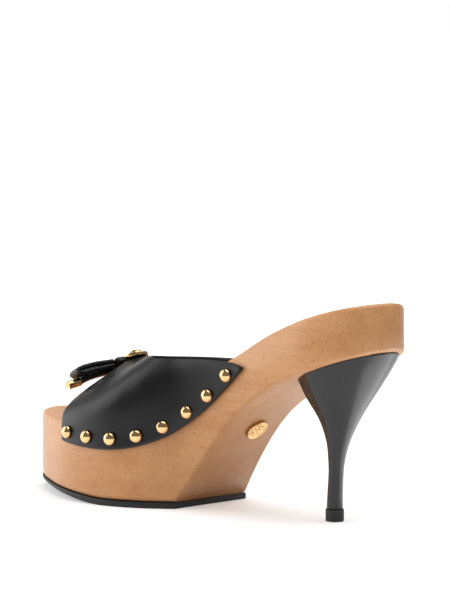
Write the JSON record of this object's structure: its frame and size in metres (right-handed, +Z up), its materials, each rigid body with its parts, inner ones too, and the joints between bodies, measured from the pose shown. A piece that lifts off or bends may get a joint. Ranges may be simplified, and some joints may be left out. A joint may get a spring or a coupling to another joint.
{
  "type": "studded platform mule",
  "caption": "High-heeled platform clog mule with a wooden sole, a nailed leather vamp open at the toe, a ribbon bow and a slim covered heel.",
  "frame": {"origin": "centre of the shoe's outline on the floor it stands on", "axes": "+X towards the heel, with the toe at -X; +Y towards the inner side of the foot; +Z up"},
  "size_m": [0.2468, 0.0944, 0.1026],
  "materials": {
    "beech": "satin lacquer",
    "black_rubber": "matte",
    "heel_cover": "smooth satin",
    "black_leather": "smooth satin",
    "polished_gold": "polished"
  },
  "bodies": {
    "root": {"platform": "beech", "outsole": "black_rubber", "heel": "heel_cover", "heel_tip": "black_rubber", "upper": "black_leather", "bow_knot": "black_leather", "bow_loop_outer": "black_leather", "bow_loop_inner": "black_leather", "bow_tail_outer": "black_leather", "bow_tail_inner": "black_leather", "aglet_outer": "polished_gold", "aglet_inner": "polished_gold", "medallion": "polished_gold", "badge": "polished_gold", "stud_outer_1": "polished_gold", "stud_outer_2": "polished_gold", "stud_outer_3": "polished_gold", "stud_outer_4": "polished_gold", "stud_outer_5": "polished_gold", "stud_outer_6": "polished_gold", "stud_outer_7": "polished_gold", "stud_outer_8": "polished_gold", "stud_inner_1": "polished_gold", "stud_inner_2": "polished_gold", "stud_inner_3": "polished_gold", "stud_inner_4": "polished_gold", "stud_inner_5": "polished_gold", "stud_inner_6": "polished_gold", "stud_inner_7": "polished_gold", "stud_inner_8": "polished_gold"}
  },
  "joints": []
}
